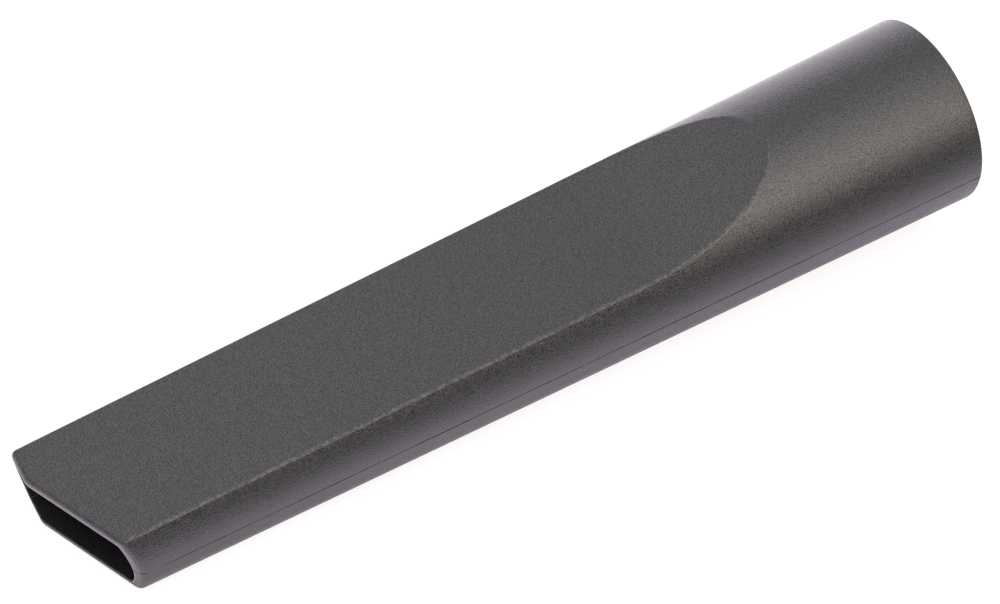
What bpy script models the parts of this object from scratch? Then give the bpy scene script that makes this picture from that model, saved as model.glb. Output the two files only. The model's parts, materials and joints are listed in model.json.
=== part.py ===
"""Vacuum crevice nozzle, moulded in one piece.

A round push-fit socket runs into a long flattened duct. The duct's mouth is
cut askew, and ends on one side in a short square nose.

The tube is drawn in its own frame first. Y is its axis, with the socket's open
end at Y = 0 and the mouth towards -Y, X runs across the duct, and Z is square
to the two flats. Stations are distances from the socket's open end. The
finished piece is then tilted to lie as it comes to rest, on the underside of
its socket and the lower edge of its nose, with the floor at Z = 0.
"""

import functools
import math

import bmesh
import bpy
from mathutils import Matrix

MM = 0.001

# Lengths along the tube
TOTAL_LENGTH = 189.4 * MM
BLEND_FOOT = 74.8 * MM            # station where the flats begin to rise towards the socket
BLEND_RADIUS = 84.6 * MM          # hollow sweep of each flat, from there up to the round socket

# Round sides
SOCKET_RADIUS = 19.5 * MM         # outside, at the open end
TIP_RADIUS = 16.1 * MM            # outside, at the mouth

# Flats, measured from the tube's mid-plane
FOOT_HALF_HEIGHT = 10.4 * MM      # where the blend begins
TIP_HALF_HEIGHT = 8.45 * MM       # at the mouth
EDGE_ROUND = 0.4 * MM             # between a flat and the round sides

# Wall, the same everywhere
WALL = 2.0 * MM

# Mouth, seen from above
NOSE_WIDTH = 8.9 * MM             # square part, from the far side of the tip
MOUTH_SKEW = math.radians(25.2)   # of the rest, from square
NOSE_EASE = 0.8 * MM              # half length of the soft corner between the two
RIM_ROUND = 1.1 * MM              # outer edge of the rim, all round

# Open end of the socket
SOCKET_EDGE_ROUND = 0.5 * MM      # outside
LEAD_IN = 0.6 * MM                # chamfer inside

# Fineness of the mesh: spans in a quarter of the section, and rings
SIDE_SPANS = 12
EDGE_SPANS = 3
FLAT_SPANS = 8
ROUND_SPANS = 4
BLEND_RINGS = 14
LAST_EDGE_ANGLE = math.radians(80)
EDGE_COLUMN_GAP = math.radians(3)
SETTLING_STEPS = 8

PLASTIC_COLOUR = (0.045, 0.044, 0.046, 1.0)
PLASTIC_ROUGHNESS = 0.48


def side_radius(station):
    """Outer radius of the round sides."""
    return SOCKET_RADIUS + (TIP_RADIUS - SOCKET_RADIUS) * station / TOTAL_LENGTH


def flat_height(station, inset):
    """Height of a flat over the mid-plane, on a surface inset from the outer one."""
    taper = (TIP_HALF_HEIGHT - FOOT_HALF_HEIGHT) / (TOTAL_LENGTH - BLEND_FOOT)
    level = FOOT_HALF_HEIGHT + taper * (station - BLEND_FOOT) - inset
    sweep = BLEND_RADIUS + inset
    run = min(max(0.0, BLEND_FOOT - station), sweep)
    return level + sweep - math.sqrt(sweep ** 2 - run ** 2)


@functools.cache
def blend_top():
    """Station where the rising flats meet the round socket."""
    low = 0.0
    high = BLEND_FOOT
    for _ in range(50):
        middle = (low + high) / 2
        if flat_height(middle, 0.0) > side_radius(middle):
            low = middle
        else:
            high = middle
    return high


def edge_angles(station, inset):
    """Angles at which the rounded edge begins and ends, from the mid-plane up."""
    radius = side_radius(station) - inset
    height = flat_height(station, inset)
    if height >= radius:
        return math.pi / 2, math.pi / 2
    rise = height - EDGE_ROUND
    reach = math.sqrt((radius - EDGE_ROUND) ** 2 - rise ** 2)
    return math.atan2(rise, reach), math.atan2(height, reach)


def section_radius(angle, station, inset):
    """Distance from the axis to the surface, at an angle from the mid-plane."""
    radius = side_radius(station) - inset
    start, end = edge_angles(station, inset)
    if angle <= start:
        return radius
    height = flat_height(station, inset)
    if angle >= end:
        return height / math.sin(angle)
    rise = height - EDGE_ROUND
    reach = math.sqrt((radius - EDGE_ROUND) ** 2 - rise ** 2)
    along = reach * math.cos(angle) + rise * math.sin(angle)
    across = reach * math.sin(angle) - rise * math.cos(angle)
    return along + math.sqrt(EDGE_ROUND ** 2 - across ** 2)


def column_limits(station):
    """Highest angles of the rounded edge's columns: even at the open end, gathered at the flat's top."""
    gather = min(1.0, station / blend_top())
    even_span = math.radians(90) / (SIDE_SPANS + EDGE_SPANS + FLAT_SPANS)
    even_start = even_span * SIDE_SPANS
    even_end = even_span * (SIDE_SPANS + EDGE_SPANS)
    start = even_start + (LAST_EDGE_ANGLE - even_start) * gather
    end = even_end + (LAST_EDGE_ANGLE + EDGE_COLUMN_GAP - even_end) * gather
    return start, end


def column_angles(station, inset):
    """Angles of the columns in one quarter: round side, rounded edge, then flat."""
    start, end = edge_angles(station, inset)
    highest_start, highest_end = column_limits(station)
    start = min(start, highest_start)
    end = min(max(end, start + EDGE_COLUMN_GAP), highest_end)
    side = [start * i / SIDE_SPANS for i in range(SIDE_SPANS)]
    edge = [start + (end - start) * i / EDGE_SPANS for i in range(EDGE_SPANS)]
    flat = [math.atan2(math.sin(end), math.cos(end) * (1 - i / FLAT_SPANS)) for i in range(FLAT_SPANS + 1)]
    return side + edge + flat


def mouth_line(x):
    """Station of the mouth at x across the tube."""
    slope = math.tan(MOUTH_SKEW)
    past_corner = x - (NOSE_WIDTH - TIP_RADIUS)
    if past_corner >= NOSE_EASE:
        return TOTAL_LENGTH - slope * past_corner
    eased = max(0.0, past_corner + NOSE_EASE)
    return TOTAL_LENGTH - slope * eased ** 2 / (4 * NOSE_EASE)


def corner(column, side, up, station, inset, lean, retreat):
    """One corner of a ring. With lean above 0 it is drawn towards the mouth, less the retreat."""
    place = station
    for _ in range(SETTLING_STEPS):
        angle = column_angles(place, inset)[column]
        radius = section_radius(angle, place, inset)
        x = side * radius * math.cos(angle)
        place = station + lean * (mouth_line(x) - retreat - station)
    return x, -place, up * radius * math.sin(angle)


def ring(station, inset, lean=0.0, retreat=0.0):
    """One closed loop of corners around the tube, from the +X side over the top."""
    last = SIDE_SPANS + EDGE_SPANS + FLAT_SPANS
    climb = range(last)
    fall = range(last, 0, -1)
    quarters = ((climb, 1, 1), (fall, -1, 1), (climb, -1, -1), (fall, 1, -1))
    return [
        corner(column, side, up, station, inset, lean, retreat)
        for columns, side, up in quarters
        for column in columns
    ]


def body_stations():
    """Stations of the plain rings between the socket's edge and the leaning rings."""
    top = blend_top()
    socket = [top * share for share in (0.35, 0.7)]
    blend = [top + (BLEND_FOOT - top) * (i / BLEND_RINGS) ** 1.8 for i in range(BLEND_RINGS + 1)]
    return socket + blend + [(BLEND_FOOT + lean_start()) / 2, lean_start()]


def lean_start():
    """Station past which the rings lean towards the skewed mouth."""
    return (BLEND_FOOT + mouth_line(TIP_RADIUS)) / 2


def rounded_edge(size):
    """Insets and retreats of the rings over an edge rounded to that size, from the side to the end."""
    turns = [math.radians(90) * step / ROUND_SPANS for step in range(ROUND_SPANS + 1)]
    return [(size * (1 - math.cos(turn)), size * (1 - math.sin(turn))) for turn in turns]


def outer_rings():
    """Rings of the outside, from the socket's open end over the mouth's rim."""
    rings = [ring(station, inset) for inset, station in rounded_edge(SOCKET_EDGE_ROUND)[::-1]]
    rings += [ring(station, 0.0) for station in body_stations()]
    rings += [ring(lean_start(), 0.0, lean, RIM_ROUND) for lean in (0.4, 0.8)]
    rings += [ring(lean_start(), inset, 1.0, retreat) for inset, retreat in rounded_edge(RIM_ROUND)]
    return rings


def inner_rings():
    """Rings of the hollow, from the socket's open end to the mouth."""
    rings = [ring(0.0, WALL - LEAD_IN), ring(LEAD_IN, WALL)]
    rings += [ring(station, WALL) for station in body_stations()]
    rings += [ring(lean_start(), WALL, lean) for lean in (0.4, 0.8, 1.0)]
    return rings


def build_mesh():
    """Mesh of the whole tube: its rings in one round trip, out along the outside and back inside."""
    rings = outer_rings() + inner_rings()[::-1]
    shape = bmesh.new()
    loops = [[shape.verts.new(point) for point in loop] for loop in rings]
    for first, second in zip(loops, loops[1:] + loops[:1]):
        count = len(first)
        for i in range(count):
            following = (i + 1) % count
            shape.faces.new((first[i], first[following], second[following], second[i]))
    bmesh.ops.recalc_face_normals(shape, faces=shape.faces)
    mesh = bpy.data.meshes.new("nozzle_body")
    shape.to_mesh(mesh)
    shape.free()
    mesh.shade_smooth()
    mesh.set_sharp_from_angle(angle=math.radians(25))
    return mesh


def underside(station):
    """Depth of the tube's underside below its axis."""
    return min(side_radius(station), flat_height(station, 0.0))


def lie_angle():
    """How far the tube noses down when it lies on its socket and the lower edge of its nose."""
    tip = TOTAL_LENGTH - RIM_ROUND
    return max(
        math.atan2(underside(station) - underside(tip), tip - station)
        for station in [SOCKET_EDGE_ROUND] + body_stations()
    )


def plastic():
    """Charcoal moulded plastic."""
    material = bpy.data.materials.new("charcoal_plastic")
    material.use_nodes = True
    shader = material.node_tree.nodes["Principled BSDF"]
    shader.inputs["Base Color"].default_value = PLASTIC_COLOUR
    shader.inputs["Roughness"].default_value = PLASTIC_ROUGHNESS
    shader.inputs["Metallic"].default_value = 0.0
    return material


def lay_down(piece):
    """Tilts the piece to its rest, and centres its box over the origin, on the floor."""
    tilt = Matrix.Rotation(lie_angle(), 4, "X")
    points = [tilt @ vertex.co for vertex in piece.data.vertices]
    low = [min(point[axis] for point in points) for axis in range(3)]
    high = [max(point[axis] for point in points) for axis in range(3)]
    piece.rotation_euler.x = lie_angle()
    piece.location = (-(low[0] + high[0]) / 2, -(low[1] + high[1]) / 2, -low[2])


def main():
    for old in list(bpy.data.objects):
        bpy.data.objects.remove(old, do_unlink=True)
    body = bpy.data.objects.new("nozzle_body", build_mesh())
    body.data.materials.append(plastic())
    bpy.context.scene.collection.objects.link(body)
    lay_down(body)
    bpy.context.view_layer.update()


main()
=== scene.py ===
# Looks of the vacuum crevice nozzle: one piece of charcoal plastic, made in a mould of two halves.
#
# The tube is drawn in its own frame, as its solid is: Y is its axis, with the socket's open end at
# Y = 0 and the mouth towards -Y, X runs across the duct, and Z is square to the two flats.
# Stations are distances from the socket's open end. The piece is then laid where the solid lies.
import json
import math

import bpy
import numpy as np
from mathutils import Euler, Matrix, Vector


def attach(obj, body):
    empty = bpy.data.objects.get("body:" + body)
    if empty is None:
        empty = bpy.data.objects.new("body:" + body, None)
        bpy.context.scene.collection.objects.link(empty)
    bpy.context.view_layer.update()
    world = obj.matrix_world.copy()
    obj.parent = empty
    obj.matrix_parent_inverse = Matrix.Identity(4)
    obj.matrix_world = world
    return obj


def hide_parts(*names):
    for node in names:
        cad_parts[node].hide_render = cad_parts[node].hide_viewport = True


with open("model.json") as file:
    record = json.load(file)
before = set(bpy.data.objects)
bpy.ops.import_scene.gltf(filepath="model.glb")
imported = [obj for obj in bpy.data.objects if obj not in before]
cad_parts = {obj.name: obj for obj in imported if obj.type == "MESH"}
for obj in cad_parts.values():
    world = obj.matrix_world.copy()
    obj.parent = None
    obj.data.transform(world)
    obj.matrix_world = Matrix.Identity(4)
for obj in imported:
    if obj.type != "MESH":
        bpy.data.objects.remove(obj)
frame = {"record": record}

MM = 0.001

# The body's sizes, as its solid has them
TOTAL_LENGTH = 189.4 * MM
BLEND_FOOT = 74.8 * MM            # station where the flats begin to rise towards the socket
BLEND_RADIUS = 84.6 * MM          # hollow sweep of each flat, from there up to the round socket
SOCKET_RADIUS = 19.5 * MM         # outside, at the open end
TIP_RADIUS = 16.1 * MM            # outside, at the mouth
FOOT_HALF_HEIGHT = 10.4 * MM      # of the flats, where the blend begins
TIP_HALF_HEIGHT = 8.45 * MM       # of the flats, at the mouth
EDGE_ROUND = 0.4 * MM             # between a flat and the round sides
WALL = 2.0 * MM
NOSE_WIDTH = 8.9 * MM             # square part of the mouth, from the far side of the tip
MOUTH_SKEW = math.radians(25.2)   # of the rest of the mouth, from square
NOSE_EASE = 0.8 * MM              # half length of the soft corner between the two
RIM_ROUND = 1.1 * MM              # outer edge of the rim, all round
SOCKET_EDGE_ROUND = 0.5 * MM
LEAD_IN = 0.6 * MM                # chamfer inside the socket's open end

# Radii of the small edges that the solid has sharp
RIM_INNER_ROUND = 0.15 * MM
LEAD_IN_ROUND = 0.15 * MM

# Groove where the halves of the mould met, along both round sides, its floor painted dark as shade
SEAM_HALF_WIDTH = 0.11 * MM
SEAM_DEPTH = 0.12 * MM
SEAM_WIDE = 0.75                  # share of that depth past which the dark line has its full width
SEAM_THIN = 0.21                  # and past which it has half of it
FULL_LINE = 1.01                  # reach of a full line, in half widths, with some over for rounding
HALF_LINE = 0.51

# Where the halves met on the near side of the rim: a slit in its face, drawn only as painted shade, and
# a fin on its inner edge
SLIT_START = 0.8 * MM             # depth into the wall
FIN_HEIGHT = 0.35 * MM

GRAIN_END = 0.25 * MM             # before the mouth's end, on the rounded edge of the rim
LIP_WIDTH = 0.45 * MM             # inner edge of the rim, painted pale as a highlight
CREST_END = 64.0 * MM             # station to which the whole edge of the flats has a painted highlight

# Fineness of the mesh: columns in a quarter of the section, and rings
SEAM_COLUMNS = 4
SIDE_COLUMNS = 32
EDGE_COLUMNS = 8
FLAT_COLUMNS = 30
OPEN_EDGE_START = math.radians(50)   # of the edge's columns at the open end, where there is no edge
OPEN_EDGE_END = math.radians(60)
LAST_EDGE_ANGLE = math.radians(86)   # of the edge's columns at the flat's top
EDGE_COLUMN_GAP = math.radians(1)
SETTLING_STEPS = 10
BLEND_RINGS = 44
RING_GAP = 1.1 * MM
FACE_SPANS = 4                       # over the flat face of the rim

# Materials of the body, in their order on the mesh
OUTSIDE, RIM, LIP, INSIDE, SEAM, CREST, EDGE = range(7)

# Camera, in the tube's frame
CAMERA_PLACE = Vector((216.04, -199.55, 353.05)) * MM
CAMERA_TURN = Euler([math.radians(turn) for turn in (34.3675, 2.4582, 60.9436)])
CAMERA_LENS = 81.17

# Lamps
LAMP_DISTANCE = 0.95
LAMP_LENGTH = 1.4


def side_radius(station):
    """Outer radius of the round sides."""
    return SOCKET_RADIUS + (TIP_RADIUS - SOCKET_RADIUS) * station / TOTAL_LENGTH


def flat_height(station, inset):
    """Height of a flat over the mid-plane, on a surface inset from the outer one."""
    taper = (TIP_HALF_HEIGHT - FOOT_HALF_HEIGHT) / (TOTAL_LENGTH - BLEND_FOOT)
    level = FOOT_HALF_HEIGHT + taper * (station - BLEND_FOOT) - inset
    sweep = BLEND_RADIUS + inset
    run = np.clip(BLEND_FOOT - station, 0.0, sweep)
    return level + sweep - np.sqrt(sweep ** 2 - run ** 2)


def blend_top():
    """Station where the rising flats meet the round socket."""
    stations = np.linspace(0.0, BLEND_FOOT, 20001)
    return stations[np.argmax(flat_height(stations, 0.0) < side_radius(stations))]


def edge_centre(station, inset):
    """Height and reach of the rounded edge's centre, over the mid-plane and from the axis."""
    radius = side_radius(station) - inset
    height = np.minimum(flat_height(station, inset), radius)
    rise = height - EDGE_ROUND
    return rise, np.sqrt(np.maximum((radius - EDGE_ROUND) ** 2 - rise ** 2, 0.0))


def section_radius(angle, station, inset):
    """Distance from the axis to the surface, at an angle from the mid-plane."""
    least_sine = 0.05   # only for columns beside the mid-plane, which are on no flat
    rise, reach = edge_centre(station, inset)
    along = reach * np.cos(angle) + rise * np.sin(angle)
    across = reach * np.sin(angle) - rise * np.cos(angle)
    edge = along + np.sqrt(np.maximum(EDGE_ROUND ** 2 - across ** 2, 0.0))
    flat = (rise + EDGE_ROUND) / np.maximum(np.sin(angle), least_sine)
    on_side = angle <= np.arctan2(rise, reach)
    on_flat = angle >= np.arctan2(rise + EDGE_ROUND, reach)
    return np.where(on_side, side_radius(station) - inset, np.where(on_flat, flat, edge))


def ring_columns():
    """Columns of a ring, a row for each thing that a column has.

    These are how far it is over the side, the edge and the flat, its arc beside the seam, and its
    signs in X and Z."""
    seam_edge = 2 * SEAM_HALF_WIDTH
    quarter = [(0.0, 0.0, 0.0, seam_edge * i / SEAM_COLUMNS) for i in range(SEAM_COLUMNS)]
    quarter += [(i / SIDE_COLUMNS, 0.0, 0.0, seam_edge) for i in range(SIDE_COLUMNS)]
    quarter += [(1.0, i / EDGE_COLUMNS, 0.0, seam_edge) for i in range(EDGE_COLUMNS)]
    quarter += [(1.0, 1.0, i / FLAT_COLUMNS, seam_edge) for i in range(FLAT_COLUMNS + 1)]
    climb = quarter[:-1]
    fall = quarter[:0:-1]
    turns = ((climb, 1, 1), (fall, -1, 1), (climb, -1, -1), (fall, 1, -1))
    rows = [column + (side, up) for columns, side, up in turns for column in columns]
    return np.array(rows).T


COLUMNS = ring_columns()
BLEND_TOP = blend_top()


def column_angles(station, inset):
    """Angle of each column from the mid-plane, at each column's own station."""
    on_side, on_edge, on_flat, arc = COLUMNS[:4]
    rise, reach = edge_centre(station, inset)
    gather = np.clip(station / BLEND_TOP, 0.0, 1.0)
    highest_start = OPEN_EDGE_START + (LAST_EDGE_ANGLE - OPEN_EDGE_START) * gather
    highest_end = OPEN_EDGE_END + (LAST_EDGE_ANGLE + EDGE_COLUMN_GAP - OPEN_EDGE_END) * gather
    start = np.minimum(np.arctan2(rise, reach), highest_start)
    end = np.arctan2(rise + EDGE_ROUND, reach)
    end = np.minimum(np.maximum(end, start + EDGE_COLUMN_GAP), highest_end)
    seam = arc / (side_radius(station) - inset)
    side = seam + (start - seam) * on_side
    edge = start + (end - start) * on_edge
    flat = np.arctan2(np.sin(end), np.cos(end) * (1 - on_flat))
    return np.where(on_flat > 0, flat, np.where(on_edge > 0, edge, side))


def mouth_line(x):
    """Station of the mouth at x across the tube."""
    slope = math.tan(MOUTH_SKEW)
    past_corner = x - (NOSE_WIDTH - TIP_RADIUS)
    eased = np.maximum(0.0, past_corner + NOSE_EASE)
    bend = slope * eased ** 2 / (4 * NOSE_EASE)
    return TOTAL_LENGTH - np.where(past_corner >= NOSE_EASE, slope * past_corner, bend)


def seam_groove(station, side):
    """Depth of the parting line's groove: uneven, deepest beside the sweep and faint by the mouth."""
    share_at = {2: 0.6, 14: 1, 28: 0.6, 54: 1.6, 74: 1.2, 88: 0.65, 114: 0.95, 160: 0.8, 176: 0.3}
    least_share = 0.2
    along = station / MM
    coarse_wave = 0.2 * np.sin(along / 3.7 + side)
    fine_wave = 0.15 * np.sin(along / 1.3 + 2 * side)
    uneven = 0.8 + coarse_wave + fine_wave
    faded = np.interp(along, list(share_at), list(share_at.values()))
    return SEAM_DEPTH * np.clip(uneven * faded, least_share, 1.0)


def rim_fin(station, side):
    """Height of the fin on the rim's inner edge, towards the tube's axis."""
    return np.where(side > 0, FIN_HEIGHT, 0.0)


def ring(station, inset, lean=0.0, retreat=0.0, carve=None):
    """Points of one closed loop around the tube, drawn towards the mouth where lean is above 0.

    What carve gives is taken off at the seams, towards the axis."""
    arc, side, up = COLUMNS[3:]
    place = np.full(len(arc), float(station))
    for _ in range(SETTLING_STEPS):
        angle = column_angles(place, inset)
        radius = section_radius(angle, place, inset)
        x = side * radius * np.cos(angle)
        place = station + lean * (mouth_line(x) - retreat - station)
    if carve:
        off_seam = np.minimum(angle * radius / SEAM_HALF_WIDTH, 1.0)
        radius = radius - carve(place, side) * (1 - off_seam ** 2) ** 2
    return np.column_stack([side * radius * np.cos(angle), -place, up * radius * np.sin(angle)])


def softened(corners, radii, steps=6):
    """Points of a path in a plane, with each corner between its ends rounded to its radius."""
    points = []
    for before, corner, after, radius in zip(corners, corners[1:], corners[2:], radii):
        before, corner, after = (np.array(point) for point in (before, corner, after))
        back = (before - corner) / np.linalg.norm(before - corner)
        onward = (after - corner) / np.linalg.norm(after - corner)
        half_turn = (math.pi - math.acos(np.dot(back, onward))) / 2
        first = corner + radius * math.tan(half_turn) * back
        last = corner + radius * math.tan(half_turn) * onward
        for i in range(steps + 1):
            t = i / steps
            share = 2 * t * (1 - t) * math.cos(half_turn)
            total = (1 - t) ** 2 + share + t ** 2
            points.append(((1 - t) ** 2 * first + share * corner + t ** 2 * last) / total)
    return points


def spread(first, last):
    """Stations between two others, about a ring's gap apart, with the last one but not the first."""
    count = max(1, round(abs(last - first) / RING_GAP))
    return [first + (last - first) * (i + 1) / count for i in range(count)]


def lean_start():
    """Station past which the rings lean towards the skewed mouth."""
    return (BLEND_FOOT + mouth_line(TIP_RADIUS)) / 2


def body_stations():
    """Stations of the plain rings, closer together where the flat begins at the socket."""
    crowding = 1.5
    shares = [(i / BLEND_RINGS) ** crowding for i in range(1, BLEND_RINGS + 1)]
    blend = [BLEND_TOP + (BLEND_FOOT - BLEND_TOP) * share for share in shares]
    return spread(2 * SOCKET_EDGE_ROUND, BLEND_TOP) + blend + spread(BLEND_FOOT, lean_start())


def outer_rings():
    """Rings of the outside, from the socket's edge to just before the rim's rounded edge."""
    rim_start = 1.2 * RIM_ROUND
    rings = [ring(station, 0.0, carve=seam_groove) for station in body_stations()]
    steps = round((TOTAL_LENGTH - lean_start()) / RING_GAP)
    for i in range(1, steps + 1):
        rings.append(ring(lean_start(), 0.0, i / steps, rim_start, seam_groove))
    return rings


def rim_path():
    """Insets and retreats of the rings over the mouth's rim, from the outside to the inside."""
    path = softened([(0.0, WALL), (0.0, 0.0), (WALL, 0.0), (WALL, WALL)], (RIM_ROUND, RIM_INNER_ROUND))
    face_width = WALL - RIM_INNER_ROUND - RIM_ROUND
    face = [(RIM_ROUND + face_width * i / FACE_SPANS, 0.0) for i in range(1, FACE_SPANS)]
    middle = len(path) // 2
    return path[:middle] + face + path[middle:]


def rim_rings():
    """Rings over the mouth's rim, with the end of the parting line and the fin on its inner edge."""
    fin_start = WALL - 0.9 * RIM_INNER_ROUND
    rings = []
    for inset, retreat in rim_path():
        carve = None
        if inset > fin_start:
            carve = rim_fin
        elif retreat > GRAIN_END:
            carve = seam_groove
        rings.append(ring(lean_start(), inset, 1.0, retreat, carve))
    return rings


def inner_rings():
    """Rings of the hollow, from the rim to the socket's open end, half as many as outside."""
    rim_end = 2 * RIM_INNER_ROUND
    steps = round((TOTAL_LENGTH - lean_start()) / RING_GAP / 2)
    rings = [ring(lean_start(), WALL, i / steps, rim_end) for i in range(steps, 0, -1)]
    return rings + [ring(station, WALL) for station in body_stations()[::-2]]


def socket_path():
    """Insets and stations of the rings over the socket's open end, from the inside to the outside."""
    deep = 5 * LEAD_IN
    corners = [(WALL, deep), (WALL, LEAD_IN), (WALL - LEAD_IN, 0.0), (0.0, 0.0), (0.0, deep)]
    return softened(corners, (LEAD_IN_ROUND, LEAD_IN_ROUND, SOCKET_EDGE_ROUND))


def socket_rings():
    """Rings over the socket's open end, with the parting line on its outer edge."""
    rings = []
    for inset, station in socket_path():
        carve = seam_groove if inset < SOCKET_EDGE_ROUND else None
        rings.append(ring(station, inset, carve=carve))
    return rings


def rest_matrix():
    """From the tube's frame to the part's, read from the socket's end face in the record."""
    face = next(m for m in frame["record"]["mounts"] if m["name"] == "socket_end_face")
    tilt = math.atan2(face["axis"][2], face["axis"][1])
    centre = Vector((0.0, face["pos_m"][1], face["pos_m"][2]))
    return Matrix.Translation(centre) @ Matrix.Rotation(tilt, 4, "X")


def seam_reach():
    """How far each face of a ring reaches from the seam, in half widths of its groove."""
    arc = COLUMNS[3]
    return np.maximum(arc, np.roll(arc, -1)) / SEAM_HALF_WIDTH


def finish_outside(finishes, station):
    """Marks the parting line, and the edge and border of the flats, on the outside's faces: painted
    shade in the line and a painted highlight on the lighter edge and border.
    """
    _, on_edge, on_flat, _, side, _ = COLUMNS
    depth_share = seam_groove(station, side) / SEAM_DEPTH
    thin_line = np.where(depth_share > SEAM_THIN, HALF_LINE, 0.0)
    line = np.where(depth_share > SEAM_WIDE, FULL_LINE, thin_line)
    # painted shade on the floor of the parting line's groove
    finishes[seam_reach() < line] = SEAM
    near = side > 0
    over_edge = (on_edge + np.roll(on_edge, -1)) / 2
    flat_column = np.round(np.maximum(on_flat, np.roll(on_flat, -1)) * FLAT_COLUMNS)
    rounded = (over_edge > 0) & (over_edge < 1)
    border = flat_column == 1
    # painted highlight: lighter colour along the edge and near border of the flats
    painted_highlight = near & (rounded | border) | rounded & (station < CREST_END)
    finishes[painted_highlight & (station > BLEND_TOP)] = CREST
    finishes[near & rounded & (over_edge < 0.5) & (station > CREST_END)] = EDGE


def finish_rim(finishes):
    """Marks the rim's lip and its slit, and what has the outside's grain, on the rim's faces."""
    _, on_edge, _, _, side, up = COLUMNS
    in_seam = seam_reach() < FULL_LINE
    lower_or_far = np.where(on_edge > 0, up < 0, side < 0)
    for row, (inset, retreat) in zip(finishes, rim_path()):
        # the lip: a pale painted highlight
        if inset > WALL - LIP_WIDTH:
            row[:] = LIP
        # the lower and far stretch keep the outside's darker colour; only the upper and near stretch
        # carry the rim's painted highlight
        if retreat < GRAIN_END:
            row[lower_or_far] = OUTSIDE
        elif inset < RIM_ROUND:
            row[:] = OUTSIDE
            # painted shade along the parting line
            row[in_seam] = SEAM
        # the slit: painted shade alone, with no cut in the face
        if SLIT_START < inset < WALL - RIM_INNER_ROUND:
            row[in_seam & (side > 0)] = SEAM


def finish_socket(finishes):
    """Marks the parting line, with painted shade, on the outer edge of the socket's open end."""
    for row, (inset, _) in zip(finishes, socket_path()):
        if inset < SOCKET_EDGE_ROUND:
            # painted shade along the parting line
            row[seam_reach() < FULL_LINE] = SEAM


def face_finishes(parts):
    """Which material each face has, with a row for each ring and a column for each face of it."""
    counts = [len(part) for part in parts]
    finishes = np.repeat((OUTSIDE, RIM, INSIDE, OUTSIDE), counts)
    finishes = np.repeat(finishes[:, None], len(COLUMNS[0]), axis=1)
    outside, rim, _, socket = np.split(finishes, np.cumsum(counts)[:-1])
    finish_outside(outside, -np.array(parts[0])[:, :, 1])
    finish_rim(rim)
    finish_socket(socket)
    return finishes


def tube_faces(rings, columns):
    """Corners of the faces between neighbouring rings, and between the last ring and the first."""
    here = np.arange(columns)
    after = (here + 1) % columns
    faces = []
    for i in range(rings):
        first = i * columns
        second = (i + 1) % rings * columns
        faces.append(np.column_stack([first + here, first + after, second + after, second + here]))
    return np.vstack(faces)


def build_body():
    """The whole tube as one closed mesh, with each stretch of it in its own material."""
    parts = [outer_rings(), rim_rings(), inner_rings(), socket_rings()]
    loops = np.concatenate(parts)
    mesh = bpy.data.meshes.new("nozzle_shell")
    mesh.from_pydata(loops.reshape(-1, 3), [], tube_faces(*loops.shape[:2]))
    mesh.transform(rest_matrix())
    mesh.polygons.foreach_set("material_index", face_finishes(parts).ravel())
    mesh.shade_smooth()
    mesh.validate()
    materials = (
        outside_plastic(), rim_highlight_plastic(), lip_highlight_plastic(), inside_plastic(),
        seam_shade(), crest_highlight_plastic(), edge_plastic(),
    )
    for material in materials:
        mesh.materials.append(material)
    body = bpy.data.objects.new("nozzle_shell", mesh)
    bpy.context.scene.collection.objects.link(body)
    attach(body, "root")
    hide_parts("nozzle_body")


class Shader:
    """Short way to add nodes to a material and join them."""

    def __init__(self, name):
        self.material = bpy.data.materials.new(name)
        self.material.use_nodes = True
        self.tree = self.material.node_tree
        self.surface = self.tree.nodes["Principled BSDF"]

    def node(self, kind, **settings):
        """Adds a node. Settings are its own properties."""
        made = self.tree.nodes.new(kind)
        for name, value in settings.items():
            setattr(made, name, value)
        return made

    def feed(self, socket, value):
        """Joins an output to an input socket, or sets the socket to a value."""
        if isinstance(value, bpy.types.NodeSocket):
            self.tree.links.new(value, socket)
        else:
            socket.default_value = value

    def math(self, operation, *values):
        """Output of a maths node."""
        made = self.node("ShaderNodeMath", operation=operation)
        for socket, value in zip(made.inputs, values):
            self.feed(socket, value)
        return made.outputs[0]

    def noise(self, size, detail, roughness=0.5):
        """Noise whose lumps have that size, in metres."""
        made = self.node("ShaderNodeTexNoise")
        self.feed(made.inputs["Vector"], self.place())
        made.inputs["Scale"].default_value = 1 / size
        made.inputs["Detail"].default_value = detail
        made.inputs["Roughness"].default_value = roughness
        return made.outputs["Fac"]

    def cells(self, size):
        """Height of rounded pebbles of that size, in metres."""
        made = self.node("ShaderNodeTexVoronoi", feature="F1")
        self.feed(made.inputs["Vector"], self.place())
        made.inputs["Scale"].default_value = 1 / size
        distance = made.outputs["Distance"]
        return self.math("SUBTRACT", 1.0, self.math("MULTIPLY", distance, distance))

    def place(self):
        """Place on the object, in metres."""
        made = self.node("ShaderNodeTexCoord")
        return made.outputs["Object"]


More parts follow.
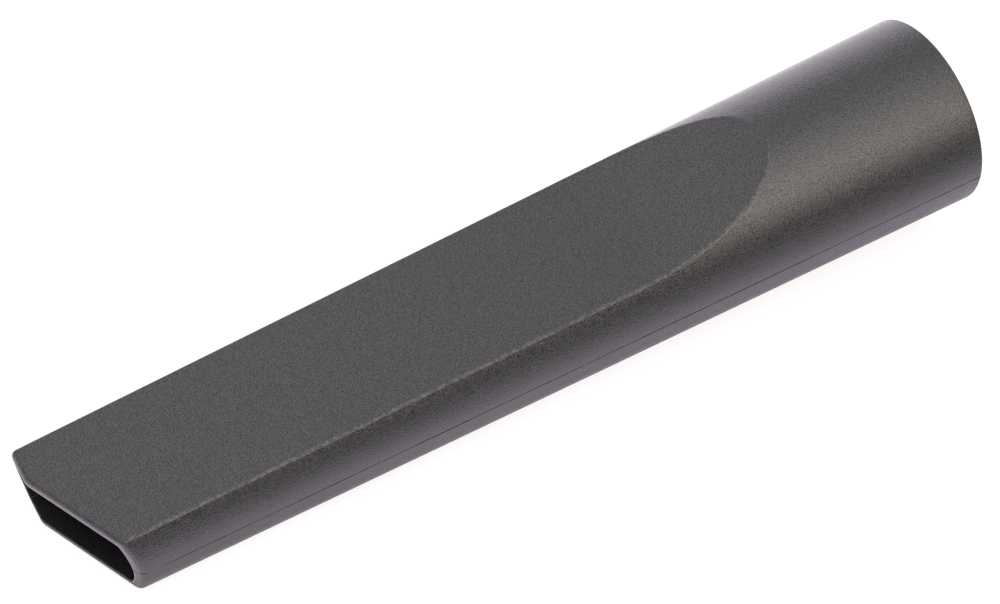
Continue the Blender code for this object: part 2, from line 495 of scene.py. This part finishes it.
def plastic(name, dark, light, gloss, roughness, grain_size, grain_depth):
    """Moulded plastic with a fine leather grain, whose pits are painted darker than its pebbles as
    shade.
    """
    crumb_height = 0.8    # beside pebbles 1 high
    pit_height = 1.0      # up to which the grain has its dark tone, painted as shade in its pits
    contrast = 2.6
    patch_size = 7 * MM
    patch_spread = 0.06   # of the roughness, from patch to patch
    shader = Shader(name)
    surface = shader.surface
    pebbles = shader.cells(grain_size)
    crumbs = shader.noise(size=0.8 * grain_size, detail=2, roughness=0.6)
    grain = shader.math("MULTIPLY_ADD", crumbs, crumb_height, pebbles)
    # painted shade: colour follows the grain's height, darker in its pits
    tone = shader.node("ShaderNodeMix", data_type="RGBA")
    lightness = shader.math("MULTIPLY_ADD", grain, contrast, -contrast * pit_height)
    shader.feed(tone.inputs["Factor"], lightness)
    tone.inputs["A"].default_value = (*dark, 1.0)
    tone.inputs["B"].default_value = (*light, 1.0)
    shader.feed(surface.inputs["Base Color"], tone.outputs["Result"])
    surface.inputs["Specular IOR Level"].default_value = gloss
    patches = shader.noise(size=patch_size, detail=3)
    uneven = shader.math("MULTIPLY_ADD", patches, patch_spread, roughness - patch_spread / 2)
    shader.feed(surface.inputs["Roughness"], uneven)
    bump = shader.node("ShaderNodeBump")
    bump.inputs["Strength"].default_value = 1.0
    bump.inputs["Distance"].default_value = grain_depth
    shader.feed(bump.inputs["Height"], grain)
    shader.feed(surface.inputs["Normal"], bump.outputs["Normal"])
    return shader.material


def outside_plastic():
    """The grained outside."""
    dark = (0.008, 0.0075, 0.008)
    light = (0.045, 0.043, 0.046)
    return plastic(
        "charcoal_outside", dark, light,
        gloss=0.8, roughness=0.15, grain_size=0.29 * MM, grain_depth=0.058 * MM,
    )


def crest_highlight_plastic():
    """The edge of the flats by the socket, and on the near side a border all along, painted lighter as
    a highlight.
    """
    dark = (0.025, 0.0243, 0.0246)
    light = (0.092, 0.0895, 0.089)
    return plastic(
        "charcoal_crest_highlight", dark, light,
        gloss=0.7, roughness=0.3, grain_size=0.6 * MM, grain_depth=0.04 * MM,
    )


def edge_plastic():
    """The outer half of the near edge along the duct, duller than what lies beside it."""
    dark = (0.02, 0.0195, 0.02)
    light = (0.06, 0.058, 0.06)
    return plastic(
        "charcoal_edge", dark, light,
        gloss=0.3, roughness=0.3, grain_size=0.6 * MM, grain_depth=0.04 * MM,
    )


def rim_highlight_plastic():
    """The upper and near stretch of the mouth's rim, smooth, and painted lighter as a highlight."""
    dark = (0.07, 0.066, 0.074)
    light = (0.1, 0.094, 0.105)
    return plastic(
        "charcoal_rim", dark, light,
        gloss=0.8, roughness=0.3, grain_size=0.9 * MM, grain_depth=0.012 * MM,
    )


def lip_highlight_plastic():
    """The inner edge of that stretch, painted the palest of all as a highlight."""
    dark = (0.3, 0.28, 0.32)
    light = (0.4, 0.375, 0.42)
    return plastic(
        "charcoal_lip", dark, light,
        gloss=0.8, roughness=0.3, grain_size=0.9 * MM, grain_depth=0.012 * MM,
    )


def inside_plastic():
    """The hollow, smooth from the core of the mould, and painted darker than the outside as shade."""
    # painted shade: darker than the outside's colour
    dark = (0.005, 0.0045, 0.0045)
    light = (0.01, 0.009, 0.0085)
    return plastic(
        "charcoal_inside", dark, light,
        gloss=0.22, roughness=0.5, grain_size=0.6 * MM, grain_depth=0.03 * MM,
    )


def seam_shade():
    """The floor of the parting line's groove, painted dark as shade."""
    shader = Shader("seam_shade")
    shader.surface.inputs["Base Color"].default_value = (0.004, 0.004, 0.005, 1.0)
    shader.surface.inputs["Roughness"].default_value = 0.9
    shader.surface.inputs["Specular IOR Level"].default_value = 0.05
    return shader.material


def towards(azimuth, elevation):
    """Direction from the object. Azimuth 0 is +X and 90 is +Y, in degrees."""
    turn = math.radians(azimuth)
    climb = math.radians(elevation)
    reach = math.cos(climb)
    return Vector((math.cos(turn) * reach, math.sin(turn) * reach, math.sin(climb)))


def softbox(name, azimuth, elevation, length, height, radiance, colour):
    """Soft lamp that faces the object, at an azimuth and elevation in degrees."""
    lamp = bpy.data.lights.new(name, "AREA")
    lamp.shape = "RECTANGLE"
    lamp.size = length
    lamp.size_y = height
    lamp.energy = radiance * math.pi * length * height
    lamp.color = colour
    placed = bpy.data.objects.new(name, lamp)
    direction = towards(azimuth, elevation)
    placed.location = direction * LAMP_DISTANCE
    placed.rotation_euler = direction.to_track_quat("Z", "Y").to_euler()
    placed.visible_camera = False
    bpy.context.scene.collection.objects.link(placed)


def light_scene():
    """Warm lamps over the near side, plain ones overhead and cool ones behind.

    The dim panel over the socket hides the world there, for a darker streak in its gloss."""
    warm = (1.0, 0.885, 0.76)
    plain = (1.0, 0.985, 0.97)
    cool = (0.93, 0.87, 1.0)
    # Each with its azimuth, elevation, length, height, radiance and colour
    softbox("near", 0, 36, LAMP_LENGTH, 0.36, 2.9, warm)
    softbox("near_upper", 0, 55, LAMP_LENGTH, 0.27, 2.25, warm)
    softbox("overhead", 0, 81, LAMP_LENGTH, 0.56, 1.1, plain)
    softbox("over_flat", 200, 60, 0.86, 0.3, 0.9, plain)
    softbox("over_socket", 127, 52, 0.46, 0.34, 0.05, plain)
    softbox("behind", 180, 39, LAMP_LENGTH, 0.285, 0.22, cool)
    softbox("horizon", 180, 6, LAMP_LENGTH, 0.36, 1.32, cool)
    world = bpy.data.worlds.new("studio")
    world.use_nodes = True
    world.node_tree.nodes["Background"].inputs["Color"].default_value = (0.96, 0.945, 1.0, 1.0)
    world.node_tree.nodes["Background"].inputs["Strength"].default_value = 0.66
    bpy.context.scene.world = world


def glow_distance(shader):
    """Distance from the tube's axis at which the paper's glow is read, with the far side below 0.

    Along the narrow duct the glow lies a little closer to the axis than along the socket, and before
    the mouth it rises from the mouth's own line."""
    mouth_climb = 7          # steepness of that rise
    mouth_glow = 31 * MM     # distance whose glow it rises to
    narrowing_start = 15 * MM
    narrowing_end = -18 * MM
    narrowing_depth = 2 * MM
    spot = shader.node("ShaderNodeSeparateXYZ")
    shader.feed(spot.inputs["Vector"], shader.place())
    beside_nose = shader.math("SUBTRACT", spot.outputs["X"], NOSE_WIDTH - TIP_RADIUS)
    past_nose = shader.math("MAXIMUM", beside_nose, 0.0)
    mouth = shader.math("MULTIPLY_ADD", past_nose, math.tan(MOUTH_SKEW), -TOTAL_LENGTH / 2)
    # the glow is dim just before the mouth's line, as a painted shadow in the gloss
    climb = shader.math("MULTIPLY", shader.math("SUBTRACT", mouth, spot.outputs["Y"]), mouth_climb)
    before_mouth = shader.math("MINIMUM", climb, mouth_glow)
    narrowing = shader.node("ShaderNodeMapRange")
    shader.feed(narrowing.inputs["Value"], spot.outputs["Y"])
    narrowing.inputs["From Min"].default_value = narrowing_start
    narrowing.inputs["From Max"].default_value = narrowing_end
    narrowing.inputs["To Min"].default_value = 0.0
    narrowing.inputs["To Max"].default_value = narrowing_depth
    off_axis = shader.math("ABSOLUTE", spot.outputs["X"])
    beside = shader.math("ADD", off_axis, narrowing.outputs["Result"])
    distance = shader.math("MAXIMUM", beside, before_mouth)
    return shader.math("MULTIPLY", distance, shader.math("SIGN", spot.outputs["X"]))


def mirrored_glow(shader):
    """Colour that the paper has in the plastic's gloss, by its distance from the tube's axis.

    It is dim beside the object, as a painted shadow, and bright before its mouth, as a painted pool of
    light, pinkish on the far side and lavender on the near side."""
    far_colour = (0.97, 0.9, 1.0)
    near_colour = (0.84, 0.78, 1.03)
    # Strength by millimetres from the axis, with the far side below 0; the dim strengths beside the
    # object are a painted shadow
    glow = {-150: 0.85, -90: 1.1, -40: 1.2, -26: 0.5, 19: 0.22, 26: 0.95, 45: 0.42, 90: 0.18, 180: 0.12}
    reach = 200
    scale = 0.5 / (reach * MM)
    ramp = shader.node("ShaderNodeValToRGB")
    shader.feed(ramp.inputs["Fac"], shader.math("MULTIPLY_ADD", glow_distance(shader), scale, 0.5))
    stops = ramp.color_ramp.elements
    while len(stops) < len(glow):
        stops.new(0.5)
    for stop, (x, strength) in zip(stops, glow.items()):
        colour = near_colour if x > 0 else far_colour
        stop.position = 0.5 + 0.5 * x / reach
        stop.color = (*(strength * channel for channel in colour), 1.0)
    return ramp.outputs["Color"]


def paper():
    """White studio paper, which keeps the object's shadow.

    It glows for what the camera sees, straight or in gloss or glass, and lights nothing."""
    shader = Shader("studio_paper")
    surface = shader.surface
    surface.inputs["Base Color"].default_value = (0.4, 0.4, 0.4, 1.0)
    surface.inputs["Roughness"].default_value = 1.0
    surface.inputs["Specular IOR Level"].default_value = 0.0
    path = shader.node("ShaderNodeLightPath")
    gloss = shader.math("MAXIMUM", path.outputs["Is Glossy Ray"], path.outputs["Is Transmission Ray"])
    colour = shader.node("ShaderNodeMix", data_type="RGBA")
    shader.feed(colour.inputs["Factor"], gloss)
    colour.inputs["A"].default_value = (0.72, 0.71, 0.73, 1.0)
    shader.feed(colour.inputs["B"], mirrored_glow(shader))
    shader.feed(surface.inputs["Emission Color"], colour.outputs["Result"])
    seen = shader.math("MAXIMUM", path.outputs["Is Camera Ray"], gloss)
    shader.feed(surface.inputs["Emission Strength"], seen)
    return shader.material


def studio():
    """Round sheet of paper that turns up into a low wall all round."""
    floor_radius = 1.3
    turn_up = 0.25
    wall_height = 0.45
    turn_spans = 8
    sides = 96
    profile = [(floor_radius, 0.0)]
    for i in range(1, turn_spans + 1):
        angle = math.radians(90) * i / turn_spans
        profile.append((floor_radius + turn_up * math.sin(angle), turn_up * (1 - math.cos(angle))))
    profile.append((floor_radius + turn_up, wall_height))
    turns = [2 * math.pi * i / sides for i in range(sides)]
    points = [
        (radius * math.cos(turn), radius * math.sin(turn), height)
        for radius, height in profile
        for turn in turns
    ]
    faces = [tuple(range(sides))]
    for row in range(len(profile) - 1):
        inner = row * sides
        outer = inner + sides
        for i in range(sides):
            j = (i + 1) % sides
            faces.append((inner + i, outer + i, outer + j, inner + j))
    mesh = bpy.data.meshes.new("studio_sheet")
    mesh.from_pydata(points, [], faces)
    mesh.shade_smooth()
    mesh.materials.append(paper())
    sheet = bpy.data.objects.new("studio_sheet", mesh)
    bpy.context.scene.collection.objects.link(sheet)


def flag():
    """Black card on the near side, which the plastic mirrors as a dark band. Nothing else shows it."""
    distance = 0.3
    half_length = 0.5
    height = 0.105
    mesh = bpy.data.meshes.new("black_card")
    corners = [(distance, -half_length, 0.0), (distance, half_length, 0.0)]
    corners += [(distance, half_length, height), (distance, -half_length, height)]
    mesh.from_pydata(corners, [], [(0, 1, 2, 3)])
    shader = Shader("black_card")
    shader.surface.inputs["Base Color"].default_value = (0.02, 0.02, 0.02, 1.0)
    shader.surface.inputs["Roughness"].default_value = 1.0
    mesh.materials.append(shader.material)
    card = bpy.data.objects.new("black_card", mesh)
    card.visible_camera = False
    card.visible_diffuse = False
    card.visible_shadow = False
    bpy.context.scene.collection.objects.link(card)


def aim_camera():
    """Camera at the photograph's place and angle."""
    view = bpy.data.cameras.new("camera")
    view.lens = CAMERA_LENS
    view.sensor_width = 36.0
    view.sensor_fit = "HORIZONTAL"
    view.clip_start = 0.01
    camera = bpy.data.objects.new("camera", view)
    camera.matrix_world = rest_matrix() @ Matrix.LocRotScale(CAMERA_PLACE, CAMERA_TURN, None)
    bpy.context.scene.collection.objects.link(camera)
    bpy.context.scene.camera = camera


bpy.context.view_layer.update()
build_body()
studio()
flag()
light_scene()
aim_camera()
bpy.context.scene.view_settings.view_transform = "Standard"
